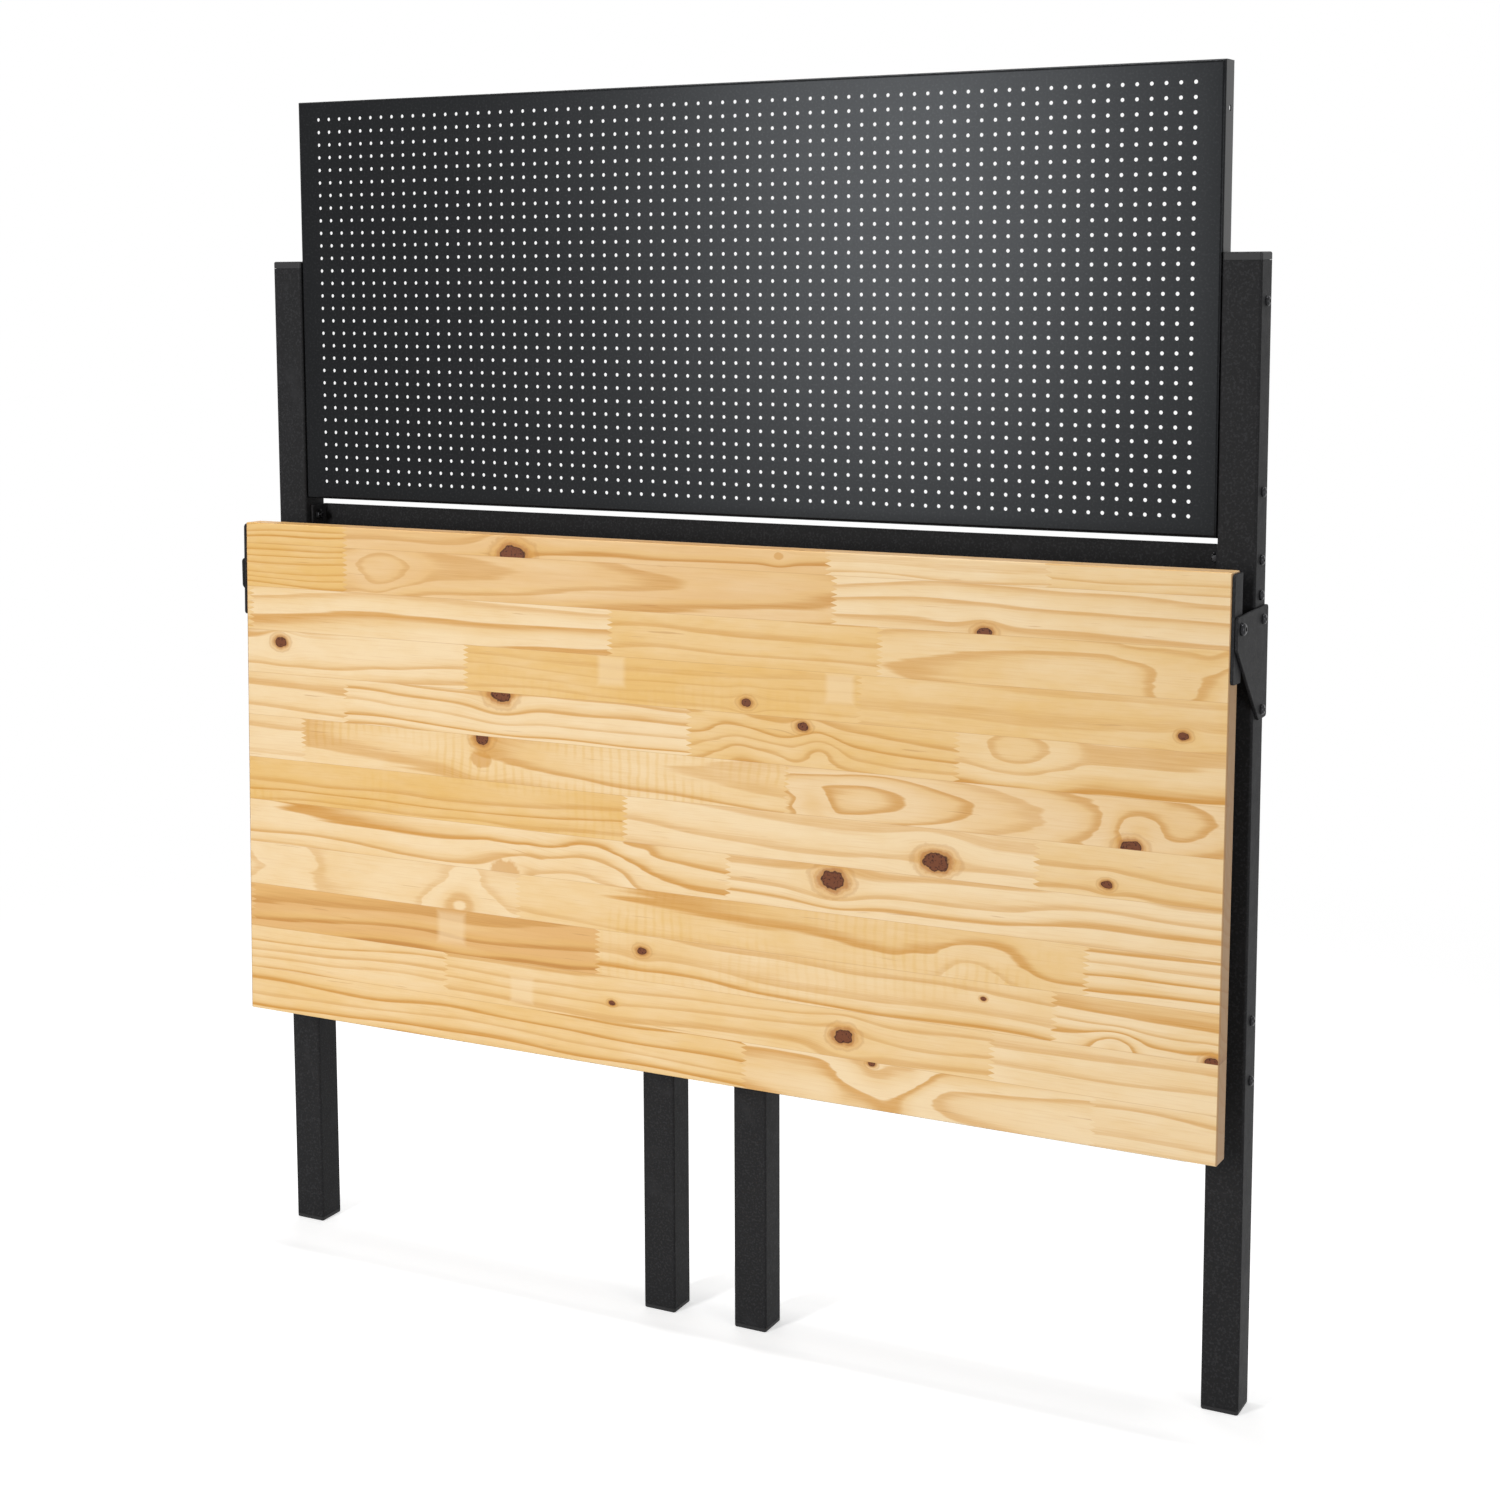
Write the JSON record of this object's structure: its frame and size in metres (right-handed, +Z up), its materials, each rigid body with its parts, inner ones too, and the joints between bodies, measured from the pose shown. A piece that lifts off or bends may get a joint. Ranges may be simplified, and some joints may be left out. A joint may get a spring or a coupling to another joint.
{
  "type": "folding workbench",
  "caption": "Folding workbench: steel posts with a perforated tool panel, a hinged pine top that hangs folded and lifts level, and leg gates folded in behind it.",
  "frame": {"origin": "on the floor, at the middle of the folded bench's box", "axes": "+Z up, +Y towards the wall behind the bench, +X to the right of someone facing it"},
  "size_m": [1.2216, 0.1282, 1.4015],
  "materials": {
    "powder_coat": "black powder coat with a fine texture",
    "panel_coat": "black satin powder coat on perforated sheet",
    "pine": "clear-finished finger-jointed pine",
    "black_plastic": "matt moulded plastic",
    "black_steel": "black zinc plating",
    "zinc_steel": "bright zinc plating",
    "rubber": "matt moulded rubber"
  },
  "bodies": {
    "frame": {"left_post": "powder_coat", "right_post": "powder_coat", "left_hinge_plate": "powder_coat", "right_hinge_plate": "powder_coat", "left_gate_leg": "powder_coat", "right_gate_leg": "powder_coat", "left_gate_stile": "powder_coat", "right_gate_stile": "powder_coat", "left_gate_upper_rail": "powder_coat", "right_gate_upper_rail": "powder_coat", "left_gate_lower_rail": "powder_coat", "right_gate_lower_rail": "powder_coat", "left_upper_hinge_post_leaf": "powder_coat", "right_upper_hinge_post_leaf": "powder_coat", "left_upper_hinge_gate_leaf": "powder_coat", "right_upper_hinge_gate_leaf": "powder_coat", "left_lower_hinge_post_leaf": "powder_coat", "right_lower_hinge_post_leaf": "powder_coat", "left_lower_hinge_gate_leaf": "powder_coat", "right_lower_hinge_gate_leaf": "powder_coat", "crossbar": "powder_coat", "perforated_panel": "panel_coat", "left_post_cap": "black_plastic", "right_post_cap": "black_plastic", "left_post_foot": "black_plastic", "right_post_foot": "black_plastic", "left_gate_foot": "black_plastic", "right_gate_foot": "black_plastic", "left_panel_bolt_lower": "black_steel", "right_panel_bolt_lower": "black_steel", "left_panel_bolt_upper": "black_steel", "right_panel_bolt_upper": "black_steel", "left_crossbar_bolt_lower": "black_steel", "right_crossbar_bolt_lower": "black_steel", "left_crossbar_bolt_upper": "black_steel", "right_crossbar_bolt_upper": "black_steel", "left_plate_bolt_lower": "black_steel", "right_plate_bolt_lower": "black_steel", "left_plate_bolt_upper": "black_steel", "right_plate_bolt_upper": "black_steel", "left_gate_hinge_bolt_lower": "black_steel", "right_gate_hinge_bolt_lower": "black_steel", "left_gate_hinge_bolt_upper": "black_steel", "right_gate_hinge_bolt_upper": "black_steel", "left_pivot_bolt": "black_steel", "right_pivot_bolt": "black_steel", "left_upper_hinge_pin": "zinc_steel", "right_upper_hinge_pin": "zinc_steel", "left_lower_hinge_pin": "zinc_steel", "right_lower_hinge_pin": "zinc_steel", "left_bumper": "rubber", "right_bumper": "rubber"},
    "top": {"bench_top": "pine", "left_top_bracket": "powder_coat", "right_top_bracket": "powder_coat", "left_bracket_screw_front": "zinc_steel", "right_bracket_screw_front": "zinc_steel", "left_bracket_screw_rear": "zinc_steel", "right_bracket_screw_rear": "zinc_steel"}
  },
  "joints": [
    {"name": "top_lift", "type": "hinge", "parent": "frame", "child": "top", "pos_m": [0, -0.0369, 0.842], "axis": [-1, 0, 0], "range_deg": [0, 88.6]}
  ]
}
